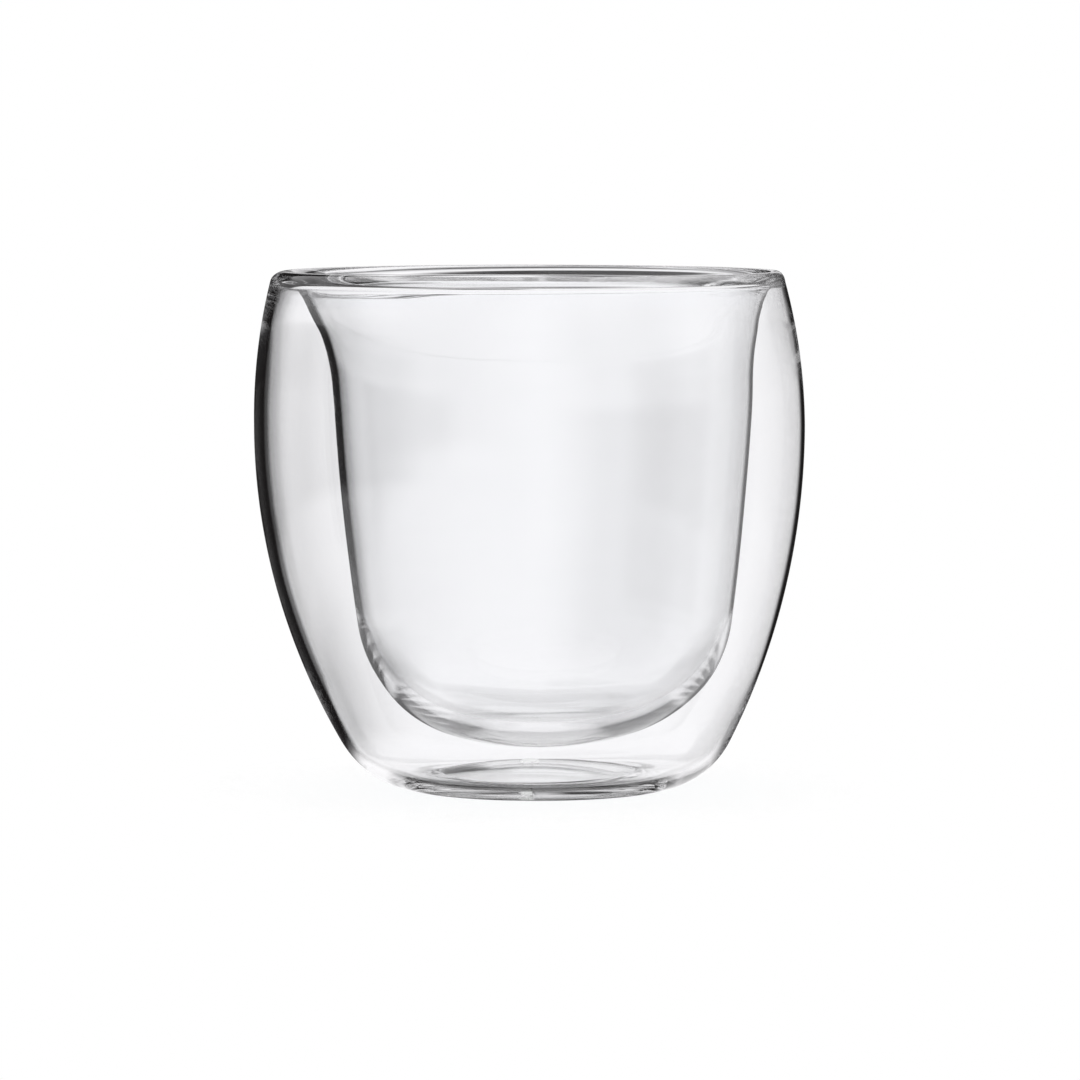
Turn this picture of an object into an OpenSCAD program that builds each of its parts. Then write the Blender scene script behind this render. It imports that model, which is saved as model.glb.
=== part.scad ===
// Double walled glass cup. A tapered inner bowl hangs inside a rounded outer shell.
// The two are fused into one lip at the rim, with still air between them all the way down.
// A soft plug closes the vent hole under the base. Lengths are in millimetres.
// The origin is on the table at the middle of the foot, with Z up.

/* [Whole cup] */
// Width across the widest part of the outer shell
width = 88; // [80:0.5:100]
// Height from the table to the top of the lip
height = 83; // [77:0.5:94]
// Height of the widest part above the table
widest_h = 58.5; // [50:0.5:64]

/* [Rim] */
// How far the outside of the lip lies in from the widest part
rim_in = 2.9; // [2:0.1:4.5]
// Radius of the rounded lip
lip_r = 2; // [1.6:0.05:2.5]
// Radius of the rounded tip of the air gap, under the lip
gap_tip_r = 1.2; // [0.9:0.05:1.3]
// How far the fused ring reaches down from the middle of the gap's tip
ring_drop = 2; // [1:0.1:4]

/* [Outer shell] */
// Wall of the outer shell
shell_wall = 1.4; // [1:0.05:2]
// Thickness of the base above the hollow
base_wall = 2.4; // [1.6:0.1:3.2]
// Radius of the turn from the side into the base, outside
corner_r = 15; // [12:0.5:20]
// Radius of the same turn, inside
inner_corner_r = 12; // [8:0.5:14]

/* [Foot] */
// Outside diameter of the flat ring that the cup stands on
foot_d = 36; // [30:0.5:42]
// Width of that flat ring
foot_band = 2; // [1.2:0.1:3]
// Radius of the ring's inner edge
foot_edge_r = 4; // [2:0.5:6]
// Height of the hollow under the base at its middle
hollow_h = 2.1; // [1.6:0.1:3]

/* [Inner bowl] */
// Wall of the bowl
bowl_wall = 1; // [0.85:0.05:1.5]
// Thickness of the bowl's floor
floor_wall = 2.5; // [1.6:0.1:3.2]
// Air left between the bowl's floor and the base, at the middle
floor_gap = 2.5; // [1.8:0.1:8]
// How far the mouth flares out beyond the turn in the bowl's wall
flare = 4.5; // [3.6:0.1:6]
// Height of the turn, where the wall stops flaring and starts to close in
turn_h = 65; // [56:0.5:68]
// Lean of the wall at the turn, in degrees
turn_lean = 3; // [1.5:0.1:4]
// Radius of the long curve of the bowl's side
side_r = 450; // [250:10:600]
// Radius of the turn from the side into the floor
knuckle_r = 21.5; // [17:0.5:25]
// Radius of the bowl's round floor
crown_r = 50; // [42:1:70]

/* [Vent] */
// Diameter of the vent hole in the middle of the base
vent_d = 2.2; // [1.6:0.1:3]
// How far each head of the plug reaches out beyond the hole
plug_lip = 0.5; // [0.3:0.1:1]
// Height of each head of the plug
plug_head = 0.5; // [0.3:0.1:0.9]
// Room left round the plug's stem
plug_room = 0.02; // [0:0.01:0.05]

/* [Hidden] */
// Facets round the axis
$fn = 160;
// How far a chord of an outline may lie inside its arc
chord_depth = 0.01;

// Bearing of point b from point a, in degrees: 0 is away from the axis and 90 is up
function bearing(a, b) = atan2(b[1] - a[1], b[0] - a[0]);

// Points of an arc between two bearings, without the first one
function arc(centre, r, from, to) =
    let (count = ceil(abs(to - from) / (2 * acos(1 - chord_depth / r))))
    [
        for (i = [1 : count])
            let (b = from + (to - from) * i / count)
            centre + r * [cos(b), sin(b)]
    ];

// The same points from the last to the first
function reversed(points) = [for (i = [len(points) - 1 : -1 : 0]) points[i]];

// Where two circles cross, on the left of the way from centre a to centre b
function crossing(a, ra, b, rb) =
    let (
        way = b - a,
        gap = norm(way),
        along = (ra * ra - rb * rb + gap * gap) / (2 * gap),
        aside = sqrt(ra * ra - along * along)
    )
    a + (along * way + aside * [-way[1], way[0]]) / gap;

// Radius of the arc that leaves point p square to direction n and runs on into a smaller circle
function arc_radius(p, n, centre, r) =
    let (d = centre - p)
    (d * d - r * r) / (2 * (d * n - r));

// Radius of the ball that a cap is cut from
function cap_radius(half_w, rise) = (half_w * half_w + rise * rise) / (2 * rise);

// The lip is a half round that ends both walls
mouth_r = width / 2 - rim_in - 2 * lip_r;
lip_c = [mouth_r + lip_r, height - lip_r];

// The shell's side runs from the widest part up into the lip and down into the corner
widest = [width / 2, widest_h];
inward = [-1, 0];
corner_c = [foot_d / 2, corner_r];
upper_r = arc_radius(widest, inward, lip_c, lip_r);
upper_c = widest + upper_r * inward;
lower_r = arc_radius(widest, inward, corner_c, corner_r);
lower_c = widest + lower_r * inward;

// The hollow under the base is part of a large ball that runs into the foot's inner edge
foot_edge_c = [foot_d / 2 - foot_band, foot_edge_r];
hollow_r = (pow(foot_edge_c[0], 2) + hollow_h * (hollow_h - 2 * foot_edge_r)) / (2 * hollow_h);
hollow_c = [0, hollow_h - hollow_r];
base_top_r = hollow_r + base_wall;
inner_corner_c = crossing(
    lower_c, lower_r - shell_wall - inner_corner_r,
    hollow_c, base_top_r + inner_corner_r
);

// The bowl's wall flares above the turn and closes in below it
outward = [cos(turn_lean), -sin(turn_lean)];
turn_in = [mouth_r - flare, turn_h];
flare_r = arc_radius(turn_in, outward, lip_c, lip_r) - bowl_wall;
flare_c = turn_in + (flare_r + bowl_wall) * outward;
side_c = turn_in + (bowl_wall - side_r) * outward;
bowl_floor_h = hollow_h + base_wall + floor_gap;

// The air gap ends in a round tip between the walls, and the fused ring starts below it
tip_c = crossing(
    upper_c, upper_r - shell_wall - gap_tip_r,
    flare_c, flare_r - gap_tip_r
);
seam_h = tip_c[1] - ring_drop;

// Bearing at which a face of the upper shell, or of the flare, meets the seam
function shell_seam(r) = asin((seam_h - upper_c[1]) / r);
function flare_seam(r) = 180 - asin((seam_h - flare_c[1]) / r);

// A point on a ball under the base, at a distance from the axis
function on_ball(r, x) = [x, hollow_c[1] + sqrt(r * r - x * x)];

// The plug's heads seat on a band of glass round the vent hole
vent_r = vent_d / 2;
head_r = vent_r + plug_lip;

// Outer shell: blown glass, with a hollow under the base and a vent hole in the middle
module outer_shell() {
    side_end = bearing(lower_c, corner_c);
    hollow_end = bearing(hollow_c, foot_edge_c);
    valley = bearing(hollow_c, inner_corner_c);
    inner_side_end = bearing(lower_c, inner_corner_c);
    inner_upper_r = upper_r - shell_wall;
    outside = concat(
        [upper_c + upper_r * [cos(shell_seam(upper_r)), sin(shell_seam(upper_r))]],
        arc(upper_c, upper_r, shell_seam(upper_r), 0),
        arc(lower_c, lower_r, 0, side_end),
        arc(corner_c, corner_r, side_end, -90),
        [[foot_edge_c[0], 0]],
        arc(foot_edge_c, foot_edge_r, -90, hollow_end - 180),
        arc(hollow_c, hollow_r, hollow_end, acos(head_r / hollow_r)),
        [on_ball(hollow_r, vent_r)]
    );
    inside = concat(
        [on_ball(base_top_r, vent_r), on_ball(base_top_r, head_r)],
        arc(hollow_c, base_top_r, acos(head_r / base_top_r), valley),
        arc(inner_corner_c, inner_corner_r, valley - 180, inner_side_end),
        arc(lower_c, lower_r - shell_wall, inner_side_end, 0),
        arc(upper_c, inner_upper_r, 0, shell_seam(inner_upper_r))
    );
    color([0.86, 0.9, 0.93, 0.35])
        rotate_extrude()
            polygon(concat(outside, inside));
}

// One face of the bowl from the seam down to the axis, at a depth below its outer face
function bowl_face(wall, floor_depth) =
    let (
        crown_face_r = crown_r - wall,
        crown_c = [0, bowl_floor_h + floor_depth + crown_face_r],
        knuckle_c = crossing(crown_c, crown_r - knuckle_r, side_c, side_r - knuckle_r),
        flare_face_r = flare_r + wall,
        seam = flare_seam(flare_face_r),
        side_end = bearing(side_c, knuckle_c),
        knuckle_end = bearing(crown_c, knuckle_c)
    )
    concat(
        [flare_c + flare_face_r * [cos(seam), sin(seam)]],
        arc(flare_c, flare_face_r, seam, 180 - turn_lean),
        arc(side_c, side_r - wall, -turn_lean, side_end),
        arc(knuckle_c, knuckle_r - wall, side_end, knuckle_end),
        arc(crown_c, crown_face_r, knuckle_end, -90)
    );

// Inner bowl: blown glass that holds the drink
module inner_bowl() {
    color([0.8, 0.86, 0.92, 0.35])
        rotate_extrude()
            polygon(concat(bowl_face(0, 0), reversed(bowl_face(bowl_wall, floor_wall))));
}

// From the seam up the shell's face, round a tip, and down the bowl's face to the seam
function round_tip(shell_face_r, bowl_face_r, centre, r) =
    let (
        seam = shell_seam(shell_face_r),
        shell_end = bearing(upper_c, centre),
        bowl_end = bearing(flare_c, centre)
    )
    concat(
        [upper_c + shell_face_r * [cos(seam), sin(seam)]],
        arc(upper_c, shell_face_r, seam, shell_end),
        arc(centre, r, shell_end, bowl_end),
        arc(flare_c, bowl_face_r, bowl_end, flare_seam(bowl_face_r))
    );

// Rim weld: the ring where both walls were fused and rounded in the flame
module rim_weld() {
    lip = round_tip(upper_r, flare_r + bowl_wall, lip_c, lip_r);
    gap_tip = round_tip(upper_r - shell_wall, flare_r, tip_c, gap_tip_r);
    color([0.7, 0.8, 0.88, 0.45])
        rotate_extrude()
            polygon(concat(lip, reversed(gap_tip)));
}

// Vent plug: soft silicone with a head on each side of the glass
module vent_plug() {
    stem_r = vent_r - plug_room;
    low_edge = on_ball(hollow_r, head_r);
    low_seat = on_ball(hollow_r, vent_r);
    high_edge = on_ball(base_top_r, head_r);
    high_seat = on_ball(base_top_r, vent_r);
    low_peak = hollow_h - plug_head;
    high_peak = hollow_h + base_wall + plug_head;
    low_cap_r = cap_radius(head_r, low_edge[1] - low_peak);
    high_cap_r = cap_radius(head_r, high_peak - high_edge[1]);
    low_cap_c = [0, low_peak + low_cap_r];
    high_cap_c = [0, high_peak - high_cap_r];
    color([0.93, 0.93, 0.92])
        rotate_extrude()
            polygon(concat(
                [[0, low_peak]],
                arc(low_cap_c, low_cap_r, -90, bearing(low_cap_c, low_edge)),
                [low_seat, [stem_r, low_seat[1]], [stem_r, high_seat[1]], high_seat, high_edge],
                arc(high_cap_c, high_cap_r, bearing(high_cap_c, high_edge), 90)
            ));
}

outer_shell();
inner_bowl();
rim_weld();
vent_plug();
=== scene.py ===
import math

import bpy
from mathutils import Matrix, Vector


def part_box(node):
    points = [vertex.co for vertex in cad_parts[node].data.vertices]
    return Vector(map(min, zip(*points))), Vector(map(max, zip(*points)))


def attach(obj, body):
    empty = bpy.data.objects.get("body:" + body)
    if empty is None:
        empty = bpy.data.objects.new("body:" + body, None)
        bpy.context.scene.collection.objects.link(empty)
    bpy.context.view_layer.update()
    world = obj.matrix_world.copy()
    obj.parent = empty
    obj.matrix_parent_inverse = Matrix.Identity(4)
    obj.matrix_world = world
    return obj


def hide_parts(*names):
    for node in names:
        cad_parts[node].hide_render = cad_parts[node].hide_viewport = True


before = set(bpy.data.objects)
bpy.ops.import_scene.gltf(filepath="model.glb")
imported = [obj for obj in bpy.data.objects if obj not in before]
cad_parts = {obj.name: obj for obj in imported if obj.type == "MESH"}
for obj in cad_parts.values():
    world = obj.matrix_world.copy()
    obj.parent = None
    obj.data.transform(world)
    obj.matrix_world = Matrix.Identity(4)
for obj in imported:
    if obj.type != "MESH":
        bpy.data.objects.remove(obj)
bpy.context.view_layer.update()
MM = 0.001

# ---------------------------------------------------------------------------------------------
# Outer shell
# A thin bulb of clear borosilicate, blown and turned in the flame, then pressed up in the middle
# so that it stands on a ring. Its top edge is fused to the inner bowl through the lip, and a small
# vent hole is left in the hollow under the base.
# ---------------------------------------------------------------------------------------------
shell_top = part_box("outer_shell")[1]
lip_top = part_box("rim_weld")[1]
seam_h = shell_top.z
widest_h = 58.5 * MM
widest = (shell_top.x, widest_h)
rim_in = 2.9 * MM
lip_r = 2 * MM
mouth_r = widest[0] - rim_in - 2 * lip_r
lip_c = (mouth_r + lip_r, lip_top.z - lip_r)

shell_wall = 1.4 * MM
base_wall = 2.4 * MM
corner_r = 15 * MM
inner_corner_r = 12 * MM
foot_r = 18 * MM
foot_band = 2 * MM
foot_edge_r = 4 * MM
hollow_h = 2.1 * MM
vent_r = 1.1 * MM


def bearing(a, b):
    """Bearing of point b from point a: 0 is away from the axis and 90 degrees is up."""
    return math.atan2(b[1] - a[1], b[0] - a[0])


def on_circle(centre, r, at):
    return (centre[0] + r * math.cos(at), centre[1] + r * math.sin(at))


def arc(centre, r, start, end, step=1.1 * MM, turn=3.5):
    """Points of an arc without the first one, at most a step and so many degrees apart."""
    count = math.ceil(max(abs(end - start) * r / step, abs(end - start) / math.radians(turn)))
    return [on_circle(centre, r, start + (end - start) * i / count) for i in range(1, count + 1)]


def crossing(a, ra, b, rb):
    """Where two circles cross, on the left of the way from centre a to centre b."""
    way = (b[0] - a[0], b[1] - a[1])
    gap = math.hypot(*way)
    along = (ra * ra - rb * rb + gap * gap) / (2 * gap)
    aside = math.sqrt(ra * ra - along * along)
    return (
        a[0] + (along * way[0] - aside * way[1]) / gap,
        a[1] + (along * way[1] + aside * way[0]) / gap,
    )


def arc_radius(p, n, centre, r):
    """Radius of the arc that leaves p square to direction n and runs on into a smaller circle."""
    d = (centre[0] - p[0], centre[1] - p[1])
    return (d[0] ** 2 + d[1] ** 2 - r * r) / (2 * (d[0] * n[0] + d[1] * n[1] - r))


upper_r = arc_radius(widest, (-1, 0), lip_c, lip_r)
upper_c = (widest[0] - upper_r, widest[1])
corner_c = (foot_r, corner_r)
lower_r = arc_radius(widest, (-1, 0), corner_c, corner_r)
lower_c = (widest[0] - lower_r, widest[1])
foot_r_in = foot_r - foot_band
foot_edge_c = (foot_r_in, foot_edge_r)
hollow_r = (foot_r_in**2 + hollow_h * (hollow_h - 2 * foot_edge_r)) / (2 * hollow_h)
hollow_c = (0, hollow_h - hollow_r)
base_top_r = hollow_r + base_wall
inner_corner_c = crossing(
    lower_c, lower_r - shell_wall - inner_corner_r, hollow_c, base_top_r + inner_corner_r
)


def seam_at(centre, r):
    """Bearing at which a circle on the outer side of the wall meets the height of the seam."""
    return math.asin((seam_h - centre[1]) / r)


def shell_outline():
    inner_r = upper_r - shell_wall
    side_end = bearing(lower_c, corner_c)
    hollow_end = bearing(hollow_c, foot_edge_c)
    valley = bearing(hollow_c, inner_corner_c)
    inner_side_end = bearing(lower_c, inner_corner_c)
    points = [on_circle(upper_c, upper_r, seam_at(upper_c, upper_r))]
    points += arc(upper_c, upper_r, seam_at(upper_c, upper_r), 0)
    points += arc(lower_c, lower_r, 0, side_end)
    points += arc(corner_c, corner_r, side_end, -math.pi / 2)
    points += [(foot_r_in, 0)]
    points += arc(foot_edge_c, foot_edge_r, -math.pi / 2, hollow_end - math.pi)
    points += arc(hollow_c, hollow_r, hollow_end, math.acos(vent_r / hollow_r))
    points += [on_circle(hollow_c, base_top_r, math.acos(vent_r / base_top_r))]
    points += arc(hollow_c, base_top_r, math.acos(vent_r / base_top_r), valley)
    points += arc(inner_corner_c, inner_corner_r, valley - math.pi, inner_side_end)
    points += arc(lower_c, lower_r - shell_wall, inner_side_end, 0)
    points += arc(upper_c, inner_r, 0, seam_at(upper_c, inner_r))
    return points + points[:1]


def ease(x):
    x = min(max(x, 0), 1)
    return x * x * (3 - 2 * x)


foot_lean, top_lean = 1.3 * MM, -0.3 * MM


def shell_lean(z):
    """How far the blown shell leans out of true, to the right, at a height."""
    low = max(widest_h - z, 0) / widest_h
    high = max(z - widest_h, 0) / (lip_top.z - widest_h)
    return foot_lean * low**2 + top_lean * high


TURNS = 384
SHARP = math.radians(35)
TOUCHING = 1e-6


def node_tree(name, kind, inputs, outputs):
    tree = bpy.data.node_groups.new(name, kind)
    for way, sockets in (("INPUT", inputs), ("OUTPUT", outputs)):
        for label, sort in sockets:
            tree.interface.new_socket(label, in_out=way, socket_type="NodeSocket" + sort)
    return tree


def turning_tree():
    """Nodes that turn an outline round the axis, as a lathe does. Each point also leans aside."""
    tree = node_tree(
        "glass_lathe",
        "GeometryNodeTree",
        [
            ("Outline", "Geometry"),
            ("Turns", "Int"),
            ("Seam height", "Float"),
            ("Glass", "Material"),
            ("Fused face", "Material"),
        ],
        [("Wall", "Geometry")],
    )
    made = tree.nodes.new
    join = tree.links.new
    given = made("NodeGroupInput").outputs

    def maths(how, a, b=0.0):
        node = made("ShaderNodeMath")
        node.operation = how
        for socket, value in zip(node.inputs, (a, b)):
            if isinstance(value, float):
                socket.default_value = value
            else:
                join(value, socket)
        return node.outputs[0]

    count = made("GeometryNodeAttributeDomainSize")
    join(given["Outline"], count.inputs[0])
    grid = made("GeometryNodeMeshGrid")
    join(count.outputs["Point Count"], grid.inputs["Vertices X"])
    around = maths("ADD", given["Turns"], 1.0)
    join(around, grid.inputs["Vertices Y"])

    index = made("GeometryNodeInputIndex").outputs[0]
    along = maths("FLOOR", maths("DIVIDE", maths("ADD", index, 0.5), around))
    step = maths("SUBTRACT", index, maths("MULTIPLY", along, around))
    angle = maths("MULTIPLY", step, maths("DIVIDE", 2 * math.pi, given["Turns"]))

    def on_outline(sort, field):
        node = made("GeometryNodeSampleIndex")
        node.data_type = sort
        join(given["Outline"], node.inputs["Geometry"])
        join(field, node.inputs["Value"])
        join(along, node.inputs["Index"])
        return node.outputs[0]

    place = made("ShaderNodeSeparateXYZ")
    join(on_outline("FLOAT_VECTOR", made("GeometryNodeInputPosition").outputs[0]), place.inputs[0])
    named = made("GeometryNodeInputNamedAttribute")
    named.data_type = "FLOAT"
    named.inputs["Name"].default_value = "lean"
    lean = on_outline("FLOAT", named.outputs[0])
    turned = made("ShaderNodeCombineXYZ")
    r = place.outputs["X"]
    join(maths("ADD", maths("MULTIPLY", r, maths("COSINE", angle)), lean), turned.inputs["X"])
    join(maths("MULTIPLY", r, maths("SINE", angle)), turned.inputs["Y"])
    join(place.outputs["Z"], turned.inputs["Z"])
    shaped = made("GeometryNodeSetPosition")
    join(grid.outputs["Mesh"], shaped.inputs["Geometry"])
    join(turned.outputs[0], shaped.inputs["Position"])
    closed = made("GeometryNodeMergeByDistance")
    closed.inputs["Distance"].default_value = TOUCHING
    join(shaped.outputs[0], closed.inputs["Geometry"])

    clear = made("GeometryNodeSetMaterial")
    join(closed.outputs[0], clear.inputs["Geometry"])
    join(given["Glass"], clear.inputs["Material"])
    level = made("ShaderNodeSeparateXYZ")
    join(made("GeometryNodeInputPosition").outputs[0], level.inputs[0])
    off = maths("ABSOLUTE", maths("SUBTRACT", level.outputs["Z"], given["Seam height"]))
    fused = made("GeometryNodeSetMaterial")
    join(clear.outputs[0], fused.inputs["Geometry"])
    join(maths("LESS_THAN", off, TOUCHING), fused.inputs["Selection"])
    join(given["Fused face"], fused.inputs["Material"])
    out = made("NodeGroupOutput")
    join(fused.outputs[0], out.inputs["Wall"])
    return tree


lathe = turning_tree()


def turned_piece(name, points, leans, glass, fused):
    """A closed piece from its outline and how far each point of it leans."""
    outline = bpy.data.meshes.new(name)
    edges = [(i, i + 1) for i in range(len(points) - 1)]
    outline.from_pydata([(r, 0, z) for r, z in points], edges, [])
    outline.attributes.new("lean", "FLOAT", "POINT").data.foreach_set("value", leans)
    piece = bpy.data.objects.new(name, outline)
    bpy.context.scene.collection.objects.link(piece)
    turn = piece.modifiers.new("Turned", "NODES")
    turn.node_group = lathe
    values = {"Turns": TURNS, "Seam height": seam_h, "Glass": glass, "Fused face": fused}
    for socket in lathe.interface.items_tree:
        if socket.name in values:
            turn[socket.identifier] = values[socket.name]
    done = bpy.context.evaluated_depsgraph_get()
    wall = bpy.data.meshes.new_from_object(piece.evaluated_get(done), depsgraph=done)
    piece.modifiers.clear()
    piece.data = wall
    wall.materials.pop(index=0)
    wall.shade_smooth()
    wall.set_sharp_from_angle(angle=SHARP)
    return piece


class Wire:
    """A socket in a shader tree. Python's own signs add the Math nodes that work on it."""

    def __init__(self, tree, socket):
        self.tree, self.socket = tree, socket

    def maths(self, how, *values):
        return add_node(self.tree, "Math", {"operation": how}, dict(enumerate(values)))[0]

    def __add__(self, other):
        return self.maths("ADD", self, other)

    def __mul__(self, other):
        return self.maths("MULTIPLY", self, other)

    def __gt__(self, other):
        return self.maths("GREATER_THAN", self, other)

    def __lt__(self, other):
        return self.maths("LESS_THAN", self, other)

    __radd__ = __add__


def add_node(tree, kind, settings=None, values=None):
    """Adds a node: its settings first, then the values or wires of its sockets."""
    node = tree.nodes.new("ShaderNode" + kind)
    for name, value in (settings or {}).items():
        if name == "stops":
            stops = node.color_ramp.elements
            while len(stops) < len(value):
                stops.new(0.5)
            for stop, (at, colour) in zip(stops, value):
                stop.position, stop.color = at, (*colour, 1)
        else:
            setattr(node, name, value)
    for name, value in (values or {}).items():
        if isinstance(value, Wire):
            tree.links.new(value.socket, node.inputs[name])
        else:
            node.inputs[name].default_value = value
    return [Wire(tree, socket) for socket in node.outputs]


def mix_colour(tree, share, a, b):
    values = {0: share, 6: a, 7: b}
    return add_node(tree, "Mix", {"data_type": "RGBA"}, values)[2]


def new_finish(name):
    finish = bpy.data.materials.new(name)
    finish.use_nodes = True
    finish.node_tree.nodes.clear()
    return finish, finish.node_tree


GLASS_IOR = 1.473
CLEAREST = (0.995, 0.998, 1, 1)
CORD_SCALE, CORD_STRETCH, CORD_SHARE = 60.0, (1.0, 1.0, 5.0), 0.12


def clear_glass(name, ripple, ripple_scale, tint):
    """Borosilicate worked in the flame: clear, a little rippled, with faint cords in the melt."""
    finish, tree = new_finish(name)
    at = add_node(tree, "TexCoord")[3]
    slow = add_node(tree, "TexNoise", None, {"Vector": at, "Scale": ripple_scale, "Detail": 2.0})[0]
    drawn = add_node(tree, "Mapping", None, {"Vector": at, "Scale": CORD_STRETCH})[0]
    streaks = {"Vector": drawn, "Scale": CORD_SCALE, "Detail": 3.0}
    cords = add_node(tree, "TexNoise", None, streaks)[0]
    relief = {"Height": slow + cords * CORD_SHARE, "Distance": ripple, "Strength": 1.0}
    normal = add_node(tree, "Bump", None, relief)[0]
    colour = mix_colour(tree, cords, CLEAREST, tint)
    glass = add_node(
        tree,
        "BsdfPrincipled",
        None,
        {
            "Base Color": colour,
            "Roughness": 0.0,
            "IOR": GLASS_IOR,
            "Transmission Weight": 1.0,
            "Normal": normal,
        },
    )[0]
    add_node(tree, "OutputMaterial", None, {"Surface": glass})
    return finish


def fused_face():
    """Where two walls were melted into one there is no surface, so light goes straight on."""
    finish, tree = new_finish("fused_face")
    through = add_node(tree, "BsdfTransparent")[0]
    add_node(tree, "OutputMaterial", None, {"Surface": through})
    return finish


melted = fused_face()
shell_glass = clear_glass(
    "shell_glass", ripple=0.02 * MM, ripple_scale=45.0, tint=(0.985, 0.99, 0.992, 1)
)
shell_points = shell_outline()


def lip_share(r):
    """How far across both walls a point is at the lip, from the bowl's face to the shell's."""
    return min(max((r - mouth_r) / (2 * lip_r), 0), 1)


# The bowl's lean at the mouth, and what is added to it down to the middle and to the floor, in
# mm, with the height where each starts and how far down it builds up.
mouth_lean, middle_lean, floor_lean = 0.9, 1.1, 0.2
middle_from, middle_over = 82 * MM, 22 * MM
floor_from, floor_over = 50 * MM, 25 * MM


def bowl_lean(z):
    """How far the inner bowl hangs out of true, to the right, at a height."""
    middle = middle_lean * ease((middle_from - z) / middle_over)
    floor = floor_lean * ease((floor_from - z) / floor_over)
    return (mouth_lean + middle + floor) * MM


# Below the seam each wall takes on its own lean. The shell has no lean round the vent, and its
# inner face leans further than its outer one from a little above the base.
seam_over = 14 * MM
true_r, true_over = 2 * MM, 13 * MM
uneven, uneven_from, uneven_over = 0.5 * MM, 4 * MM, 16 * MM


def leaned(points, wall_share, inner_lean=0):
    """Leans of an outline: near the seam they run evenly across both walls, so that they meet.
    The inner face may lean further, which makes the wall thick on one side, thin on the other."""
    leans = []
    lowest = points.index(min(points, key=lambda point: point[1]))
    for i, (r, z) in enumerate(points):
        away = ease((seam_h - z) / seam_over)
        share = lip_share(r) * (1 - away) + wall_share * away
        lean = share * shell_lean(z) + (1 - share) * bowl_lean(z)
        if wall_share:
            inside = i > lowest and z > uneven_from
            lean += inner_lean * away * inside * ease((z - uneven_from) / uneven_over)
            lean *= ease((r - true_r) / true_over)
        leans.append(lean)
    return leans


shell_leans = leaned(shell_points, 1, uneven)
shell = turned_piece("shell_wall", shell_points, shell_leans, shell_glass, melted)
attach(shell, "root")
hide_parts("outer_shell")

# ---------------------------------------------------------------------------------------------
# Inner bowl
# A second blown piece that holds the drink: it flares at the mouth, draws in to a tapered side
# and ends in a round floor. It hangs in the shell from the lip alone, with still air round it.
# ---------------------------------------------------------------------------------------------
bowl_wall = 1 * MM
floor_wall = 2.5 * MM
flare = 4.5 * MM
turn_h = 65 * MM
turn_lean = math.radians(3)
side_r = 450 * MM
knuckle_r = 21.5 * MM
crown_r = 50 * MM

outward = (math.cos(turn_lean), -math.sin(turn_lean))
turn_in = (mouth_r - flare, turn_h)
flare_r = arc_radius(turn_in, outward, lip_c, lip_r) - bowl_wall
flare_c = tuple(p + (flare_r + bowl_wall) * n for p, n in zip(turn_in, outward))
side_c = tuple(p + (bowl_wall - side_r) * n for p, n in zip(turn_in, outward))
bowl_floor_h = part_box("inner_bowl")[0].z


def bowl_face(wall, depth):
    """One face of the bowl from the seam down to the axis, at a depth below its outer face."""
    crown_c = (0, bowl_floor_h + depth + crown_r - wall)
    knuckle_c = crossing(crown_c, crown_r - knuckle_r, side_c, side_r - knuckle_r)
    seam = math.pi - seam_at(flare_c, flare_r + wall)
    side_end = bearing(side_c, knuckle_c)
    knuckle_end = bearing(crown_c, knuckle_c)
    points = [on_circle(flare_c, flare_r + wall, seam)]
    points += arc(flare_c, flare_r + wall, seam, math.pi - turn_lean)
    points += arc(side_c, side_r - wall, -turn_lean, side_end)
    points += arc(knuckle_c, knuckle_r - wall, side_end, knuckle_end)
    points += arc(crown_c, crown_r - wall, knuckle_end, -math.pi / 2)
    points[-1] = (0, points[-1][1])
    return points


bowl_points = bowl_face(bowl_wall, floor_wall)[::-1] + bowl_face(0, 0)
bowl_glass = clear_glass(
    "bowl_glass", ripple=0.02 * MM, ripple_scale=55.0, tint=(0.985, 0.988, 0.992, 1)
)
bowl = turned_piece("bowl_wall", bowl_points, leaned(bowl_points, 0), bowl_glass, melted)
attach(bowl, "root")
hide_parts("inner_bowl")

# ---------------------------------------------------------------------------------------------
# Fused lip
# The two mouths melted together in the flame and rounded: a half round outside, and a small
# round tip where the air gap ends below it.
# ---------------------------------------------------------------------------------------------
gap_tip_r = 1.2 * MM
tip_step, tip_turn = 0.3 * MM, 4.0
tip_c = crossing(upper_c, upper_r - shell_wall - gap_tip_r, flare_c, flare_r - gap_tip_r)


def round_tip(shell_face_r, bowl_face_r, centre, r):
    """From the seam up the shell's face, round a tip, and down the bowl's face to the seam."""
    seam = seam_at(upper_c, shell_face_r)
    shell_end = bearing(upper_c, centre)
    bowl_end = bearing(flare_c, centre)
    points = [on_circle(upper_c, shell_face_r, seam)]
    points += arc(upper_c, shell_face_r, seam, shell_end, tip_step)
    points += arc(centre, r, shell_end, bowl_end, tip_step, tip_turn)
    down = math.pi - seam_at(flare_c, bowl_face_r)
    return points + arc(flare_c, bowl_face_r, bowl_end, down, tip_step)


lip = round_tip(upper_r, flare_r + bowl_wall, lip_c, lip_r)
gap_tip = round_tip(upper_r - shell_wall, flare_r, tip_c, gap_tip_r)
weld_points = gap_tip + lip[::-1]
weld_points += weld_points[:1]
lip_glass = clear_glass(
    "lip_glass", ripple=0.03 * MM, ripple_scale=70.0, tint=(0.98, 0.985, 0.992, 1)
)
weld = turned_piece("fused_lip", weld_points, leaned(weld_points, 0), lip_glass, melted)
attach(weld, "root")
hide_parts("rim_weld")

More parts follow.
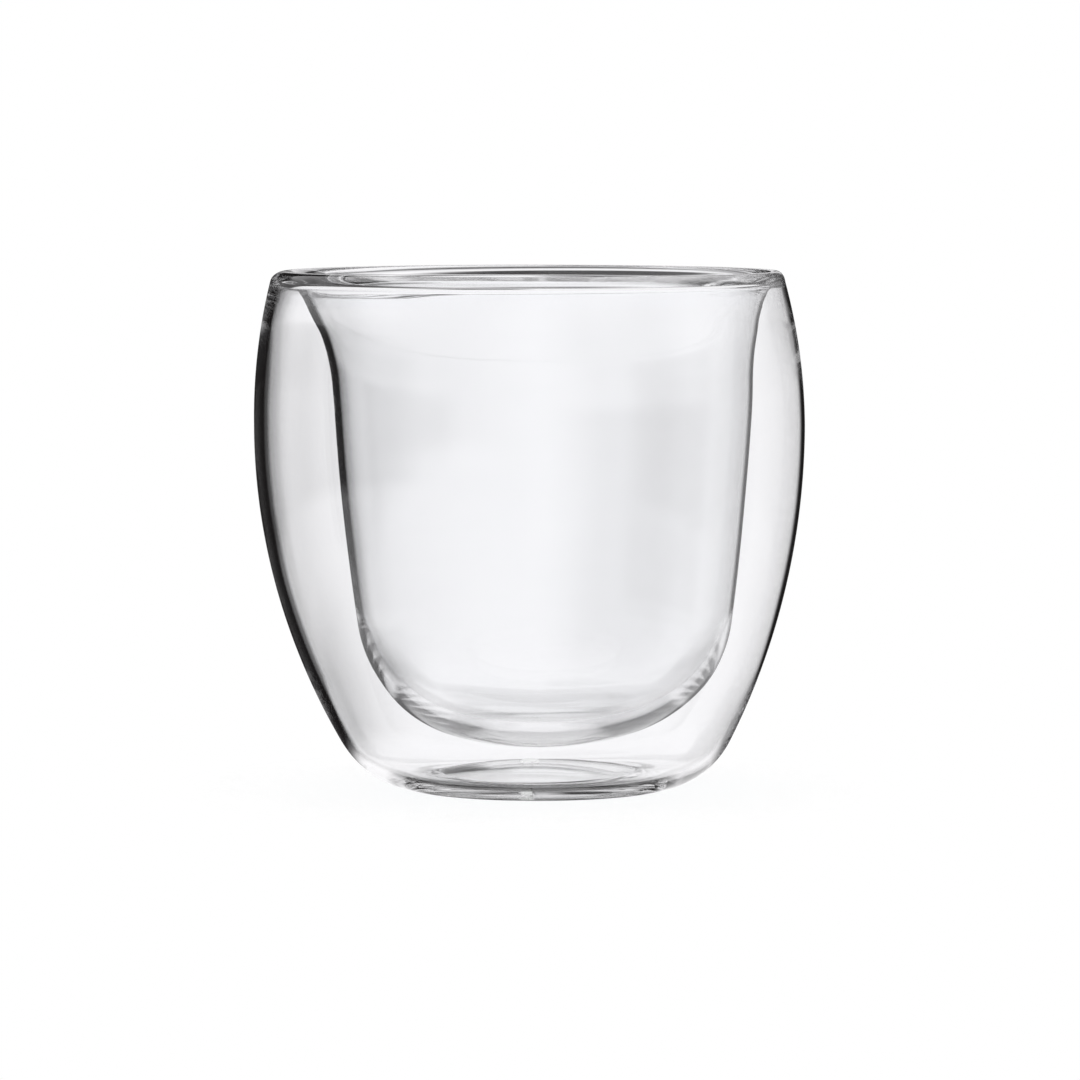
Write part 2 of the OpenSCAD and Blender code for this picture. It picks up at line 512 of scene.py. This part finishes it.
# ---------------------------------------------------------------------------------------------
# Vent plug
# A soft button of milky silicone, pushed into the vent hole from below after the annealing, so
# that no water gets between the walls. It grips the glass between two low round heads.
# ---------------------------------------------------------------------------------------------
plug_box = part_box("vent_plug")
low_peak, high_peak = plug_box[0].z, plug_box[1].z
plug_lip = 0.5 * MM
plug_room = 0.02 * MM
head_r = vent_r + plug_lip
stem_r = vent_r - plug_room
head_step = 0.12 * MM
stem_steps = 8


def on_ball(r, x):
    return (x, hollow_c[1] + math.sqrt(r * r - x * x))


def head(edge, peak):
    """A low round cap from the axis out to its edge."""
    rise = abs(edge[1] - peak)
    r = (edge[0] ** 2 + rise**2) / (2 * rise)
    up = 1 if peak > edge[1] else -1
    centre = (0, peak - up * r)
    return [(0, peak)] + arc(centre, r, up * math.pi / 2, bearing(centre, edge), head_step)


low_head = head(on_ball(hollow_r, head_r), low_peak)
high_head = head(on_ball(base_top_r, head_r), high_peak)
low_seat, high_seat = on_ball(hollow_r, vent_r), on_ball(base_top_r, vent_r)
plug_points = low_head + [low_seat, (stem_r, low_seat[1])]
stem = high_seat[1] - low_seat[1]
plug_points += [(stem_r, low_seat[1] + stem * (i + 1) / stem_steps) for i in range(stem_steps)]
plug_points += [high_seat] + high_head[::-1]
plug_points.reverse()


SILICONE_IOR = 1.41
MILKY, MILKIER = (0.80, 0.80, 0.79, 1), (0.90, 0.90, 0.895, 1)
SKIN_SCALE, SKIN_DEPTH, CLOUD_SCALE = 9000.0, 0.01 * MM, 900.0
SATIN, SATIN_RANGE = 0.38, 0.16


def silicone():
    """Satin, milky silicone: fine skin from the mould, and soft clouds in its colour."""
    finish, tree = new_finish("milky_silicone")
    at = add_node(tree, "TexCoord")[3]
    fine = {"Vector": at, "Scale": SKIN_SCALE, "Detail": 4.0}
    skin = add_node(tree, "TexNoise", None, fine)[0]
    broad = {"Vector": at, "Scale": CLOUD_SCALE, "Detail": 2.0}
    cloud = add_node(tree, "TexNoise", None, broad)[0]
    colour = mix_colour(tree, cloud, MILKY, MILKIER)
    normal = add_node(tree, "Bump", None, {"Height": skin, "Distance": SKIN_DEPTH})[0]
    rubber = add_node(
        tree,
        "BsdfPrincipled",
        None,
        {
            "Base Color": colour,
            "Roughness": SATIN + skin * SATIN_RANGE,
            "IOR": SILICONE_IOR,
            "Normal": normal,
        },
    )[0]
    add_node(tree, "OutputMaterial", None, {"Surface": rubber})
    return finish


rubber = silicone()
plug = turned_piece("silicone_plug", plug_points, [0.0] * len(plug_points), rubber, rubber)
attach(plug, "root")
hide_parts("vent_plug")

# ---------------------------------------------------------------------------------------------
# Table and studio
# A white table and a ring of white screens with dark gaps between them, which is how clear glass
# is shown: the screens fill it with light and the gaps draw its edges.
# ---------------------------------------------------------------------------------------------
# Brightness of the screens: at each height in degrees, the brightness by bearing in degrees, to
# the left of straight ahead. SCREENS is for what shows through the glass, TURNED_BACK for what
# shows where the light has turned back inside it once, which draws the edges, and TURNED_OFTEN
# for the rest. The gaps behind the camera draw the edges as they are seen from the back.
LOW_SCREENS = [(-180, 0.95), (-40, 0.95), (-16, 0.03), (16, 0.03), (40, 0.95), (180, 0.95)]
SCREENS = [
    (-50, LOW_SCREENS),
    (-41, LOW_SCREENS),
    (-35, [(-180, 0.95), (-16, 0.75), (16, 0.75), (180, 0.95)]),
    (-29, [(-180, 0.95), (-16, 1.0), (16, 1.0), (180, 0.95)]),
    (-25, LOW_SCREENS),
    (-19, LOW_SCREENS),
    (-15, [(-180, 0.95), (0, 1.0), (5, 0.95), (10, 0.85), (20, 0.7), (60, 0.85), (180, 0.95)]),
    (
        -5,
        [
            (-180, 0.95),
            (0, 1.0),
            (5, 0.92),
            (9, 0.74),
            (14, 0.82),
            (21, 0.65),
            (60, 0.85),
            (180, 0.95),
        ],
    ),
    (1, [(-180, 0.95), (0, 1.0), (6, 1.0), (10, 0.9), (20, 0.76), (60, 0.85), (180, 0.95)]),
    (20, [(-180, 0.95), (0, 1.0), (10, 0.75), (60, 0.85), (180, 0.95)]),
    (40, [(-180, 1.0), (180, 1.0)]),
]
BEHIND = [(-180, 1.0), (-174, 0.95), (-148, 0.12), (-110, 0.12), (-92, 0.95)]
LEFT_GAP_END = [(122, 0.05), (134, 0.9), (180, 0.9)]
EDGE_GAP = BEHIND + [
    (-32, 0.95),
    (-27, 0.85),
    (-24, 0.55),
    (-21, 0.1),
    (-18, 0.0),
    (-4, 0.02),
    (0, 0.4),
    (4, 0.02),
    (33, 0.0),
    (36, 0.3),
    (50, 0.45),
    (62, 0.6),
    (70, 0.05),
    *LEFT_GAP_END,
]
LOW_GAP = BEHIND + [
    (-30, 0.95),
    (-26, 0.85),
    (-21, 0.5),
    (-16, 0.05),
    (-5, 0.1),
    (2, 0.6),
    (8, 0.02),
    (31, 0.0),
    (35, 0.7),
    (180, 0.9),
]
SPLIT_GAP = [
    (-180, 1.0),
    (-35, 0.8),
    (-24, 0.3),
    (-10, 0.1),
    (-7, 1.0),
    (3, 1.0),
    (5, 0.0),
    (32, 0.0),
    (35, 0.3),
    (60, 0.7),
    (72, 0.05),
    *LEFT_GAP_END,
]
HIGH_GAP = [
    (-180, 1.0),
    (-35, 0.9),
    (-28, 0.3),
    (-10, 0.05),
    (-8, 1.0),
    (4, 1.0),
    (6, 0.0),
    (33, 0.0),
    (37, 0.6),
    (60, 0.9),
    (180, 0.9),
]
WHITE = [(-180, 0.95), (180, 0.95)]
LOW_RING = [
    (-180, 0.9),
    (-155, 0.15),
    (-115, 0.15),
    (-90, 0.9),
    (12, 0.9),
    (25, 0.15),
    (65, 0.15),
    (90, 0.9),
    (180, 0.9),
]
AHEAD = [(-180, 0.95), (-18, 0.95), (-14, 0.02), (14, 0.02), (18, 0.95), (180, 0.95)]
OVERHEAD = [(-180, 0.95), (0, 0.95), (4, 0.02), (20, 0.02), (24, 0.95), (180, 0.95)]
TURNED_BACK = [
    (-60, WHITE),
    (-32, LOW_RING),
    (-25, LOW_RING),
    (-18, LOW_GAP),
    (-12, LOW_GAP),
    (-9, EDGE_GAP),
    (1, EDGE_GAP),
    (5, SPLIT_GAP),
    (9, SPLIT_GAP),
    (12, HIGH_GAP),
    (20, HIGH_GAP),
    (23, AHEAD),
    (35, AHEAD),
    (38, WHITE),
    (43, WHITE),
    (46, OVERHEAD),
    (60, OVERHEAD),
    (64, WHITE),
]
FAR_BEHIND = [(-180, 0.95), (-170, 0.9), (-152, 0.05), (-106, 0.05), (-96, 0.9)]
LEVEL = FAR_BEHIND + [
    (-86, 0.95),
    (-76, 0.02),
    (-5, 0.02),
    (-3, 0.2),
    (3, 0.2),
    (5, 0.02),
    (50, 0.02),
    (60, 0.6),
    (70, 0.05),
    *LEFT_GAP_END,
]
MIDDLE = FAR_BEHIND + [
    (-80, 0.95),
    (-70, 0.05),
    (-10, 0.02),
    (-6, 0.6),
    (6, 0.6),
    (9, 0.02),
    (50, 0.02),
    (60, 0.6),
    (70, 0.1),
    (122, 0.1),
    (134, 0.9),
    (180, 0.9),
]
UPPER = [
    (-180, 0.95),
    (-22, 0.95),
    (-16, 0.1),
    (-5, 0.1),
    (-3, 0.95),
    (3, 0.95),
    (5, 0.02),
    (33, 0.02),
    (50, 0.1),
    (55, 0.95),
    (180, 0.95),
]
BESIDE = [(-180, 0.2), (-60, 0.2), (-50, 0.95), (110, 0.95), (120, 0.2), (180, 0.2)]
HIGH = [(-180, 0.3), (180, 0.3)]
UNDER = [
    (-165, 0.9),
    (-156, 0.05),
    (-104, 0.05),
    (-98, 0.9),
    (-90, 0.95),
    (-78, 0.02),
    (25, 0.02),
    (32, 0.95),
]
TURNED_OFTEN = [
    (-40, WHITE),
    (-36, UNDER),
    (-22, UNDER),
    (-16, LEVEL),
    (1, LEVEL),
    (3, MIDDLE),
    (8, MIDDLE),
    (11, UPPER),
    (18, UPPER),
    (23, BESIDE),
    (42, BESIDE),
    (46, WHITE),
    (50, WHITE),
    (55, HIGH),
]
SHADE, SHINE = (0.003, 0.002, 0.002, 1), (0.995, 0.985, 1.0, 1)


def studio_tone(tree, way, rings):
    """Brightness of the studio in a direction, from the rings of screens at each height."""
    left = way[0] * -1.0
    share = left.maths("ARCTAN2", left, way[1]) * (1 / (2 * math.pi)) + 0.5
    tone, below = None, None
    for height, stops in rings:
        stops = [((at + 180) / 360, (bright,) * 3) for at, bright in stops]
        ring = add_node(tree, "ValToRGB", {"stops": stops}, {"Fac": share})[0]
        level = math.sin(math.radians(height))
        if tone is None:
            tone = ring
        else:
            span = {0: way[2], 1: below, 2: level}
            rise = add_node(tree, "MapRange", {"interpolation_type": "SMOOTHSTEP"}, span)[0]
            tone = mix_colour(tree, rise, tone, ring)
        below = level
    return tone


def seen_in_glass(tree):
    """1 for what shows in or through the glass, and how often its light has turned back in it."""
    path = {wire.socket.name: wire for wire in add_node(tree, "LightPath")}
    through = path["Is Transmission Ray"]
    through = through.maths("MAXIMUM", through, path["Is Glossy Ray"])
    return through * (path["Diffuse Depth"] < 0.5), path["Glossy Depth"]


studio = bpy.data.worlds.new("studio")
bpy.context.scene.world = studio
studio.use_nodes = True
studio.node_tree.nodes.clear()
tree = studio.node_tree
way = add_node(tree, "SeparateXYZ", None, {0: add_node(tree, "TexCoord")[0]})
glassy, turns = seen_in_glass(tree)
tone = studio_tone(tree, way, SCREENS)
tone = mix_colour(tree, turns > 0.5, tone, studio_tone(tree, way, TURNED_BACK))
tone = mix_colour(tree, turns > 1.5, tone, studio_tone(tree, way, TURNED_OFTEN))
tone = mix_colour(tree, tone, SHADE, SHINE)
colour = mix_colour(tree, glassy, (1, 1, 1, 1), tone)
light = add_node(tree, "Background", None, {"Color": colour, "Strength": 1.0})[0]
add_node(tree, "OutputWorld", None, {"Surface": light})

# Round the cup the table is a lit surface that takes its shadow, and further out it is as white as
# the studio. In the glass it shows as a white glow with a painted shadow of the foot on it, and
# fades out between FADE and SEEN, sooner where the light has turned.
TABLE_R, TABLE_TOP = 30.0, -0.05 * MM
NEAR, FAR = 26 * MM, 58 * MM
FADE, SEEN = 45 * MM, 130 * MM
TURNED_FADE, TURNED_SEEN = 29 * MM, 45 * MM
PAINTED_SHADOW_FROM, PAINTED_SHADOW_TO = -8 * MM, -13 * MM
PAPER, GLOW = (0.99, 0.99, 0.99, 1), (1, 1, 1, 1)
# Brightness of the front half of the table under the cup as the glass shows it, by distance from
# the axis in mm:
# a painted shadow of the foot lies in a ring on it, drawn into the table's glow rather than cast by
# light.
PAINTED_FOOT_SHADOW_THROUGH = [(0, 1.0), (14.3, 1.0), (15, 0.03), (20.5, 0.03), (22, 1.0), (130, 1.0)]
PAINTED_FOOT_SHADOW_TURNED = [(0, 1.0), (17.5, 1.0), (18.3, 0.01), (26, 0.01), (28, 0.95), (130, 0.9)]


def table_finish():
    finish, tree = new_finish("white_table_painted_shadow")
    place = add_node(tree, "SeparateXYZ", None, {0: add_node(tree, "TexCoord")[3]})
    x, y = place[0], place[1]
    out = x.maths("SQRT", x * x + y * y)
    span = {0: out, 1: NEAR, 2: FAR}
    far = add_node(tree, "MapRange", {"interpolation_type": "SMOOTHSTEP"}, span)[0]
    lit = add_node(tree, "BsdfDiffuse", None, {"Color": PAPER})[0]
    white = add_node(tree, "Emission", None, {"Color": GLOW, "Strength": 1.0})[0]
    plain = add_node(tree, "MixShader", None, {0: far, 1: lit, 2: white})[0]
    glassy, turns = seen_in_glass(tree)
    turned = turns > 0.5
    # Painted shadow of the foot: a dark ring in the table's glow as the glass shows it, one ring
    # for light that went straight through and one for light that turned back.
    painted_shadow_tones = []
    for rings in (PAINTED_FOOT_SHADOW_THROUGH, PAINTED_FOOT_SHADOW_TURNED):
        stops = [(at * MM / SEEN, (bright,) * 3) for at, bright in rings]
        share = out * (1 / SEEN)
        painted_shadow_tones.append(add_node(tree, "ValToRGB", {"stops": stops}, {"Fac": share})[0])
    tone = mix_colour(tree, turned, *painted_shadow_tones)
    # The painted shadow is painted on the front half of the table only; behind it the table glows
    # plain white.
    painted_shadow_half = add_node(tree, "MapRange", None, {0: y, 1: PAINTED_SHADOW_FROM, 2: PAINTED_SHADOW_TO})[0]
    tone = mix_colour(tree, painted_shadow_half, GLOW, tone)
    # SHADE is the colour of the painted shadow here, and SHINE that of the white glow.
    tone = mix_colour(tree, tone, SHADE, SHINE)
    # This emission shows the table in the glass with the painted shadow of the foot in it.
    shown_with_painted_shadow = add_node(tree, "Emission", None, {"Color": tone, "Strength": 1.0})[0]
    through = add_node(tree, "BsdfTransparent")[0]
    fade_from = turned * (TURNED_FADE - FADE) + FADE
    fade_to = turned * (TURNED_SEEN - SEEN) + SEEN
    span = {0: out, 1: fade_from, 2: fade_to}
    away = add_node(tree, "MapRange", {"interpolation_type": "SMOOTHSTEP"}, span)[0]
    in_glass = add_node(tree, "MixShader", None, {0: away, 1: shown_with_painted_shadow, 2: through})[0]
    surface = add_node(tree, "MixShader", None, {0: glassy, 1: plain, 2: in_glass})[0]
    add_node(tree, "OutputMaterial", None, {"Surface": surface})
    return finish


table_mesh = bpy.data.meshes.new("table")
rings = [0.0, 0.03, 0.06, 0.12, 0.3, 1.0, 4.0, TABLE_R]
around = 96
verts = [(0, 0, TABLE_TOP)]
faces = []
for ring in rings[1:]:
    turn = [2 * math.pi * i / around for i in range(around)]
    verts += [(ring * math.cos(a), ring * math.sin(a), TABLE_TOP) for a in turn]
for i in range(around):
    faces.append((0, 1 + i, 1 + (i + 1) % around))
    for k in range(len(rings) - 2):
        a, b = 1 + k * around + i, 1 + k * around + (i + 1) % around
        faces.append((a, a + around, b + around, b))
table_mesh.from_pydata(verts, [], faces)
table_mesh.materials.append(table_finish())
table = bpy.data.objects.new("table", table_mesh)
bpy.context.scene.collection.objects.link(table)

# The lip pipes light round the cup, which takes many bounces.
BOUNCES = 200
cycles = bpy.context.scene.cycles
cycles.max_bounces = BOUNCES
cycles.transmission_bounces = BOUNCES
cycles.glossy_bounces = BOUNCES
cycles.transparent_max_bounces = 64
cycles.blur_glossy = 0.0
bpy.context.scene.view_settings.view_transform = "Standard"

# ---------------------------------------------------------------------------------------------
# Camera
# A long lens about a metre away, a little above the rim, looking slightly down.
# ---------------------------------------------------------------------------------------------
eye_side, eye_back, eye_h, aim_h = 1.68, 993.6, 108, 39.9  # mm
lens = bpy.data.cameras.new("camera")
lens.lens = 207.4
lens.sensor_width = 36
lens.clip_start = 0.01
lens.clip_end = 100
camera = bpy.data.objects.new("camera", lens)
camera.location = (eye_side * MM, -eye_back * MM, eye_h * MM)
down = math.atan2(eye_h - aim_h, eye_back)
camera.rotation_euler = (math.pi / 2 - down, 0, 0)
bpy.context.scene.collection.objects.link(camera)
bpy.context.scene.camera = camera
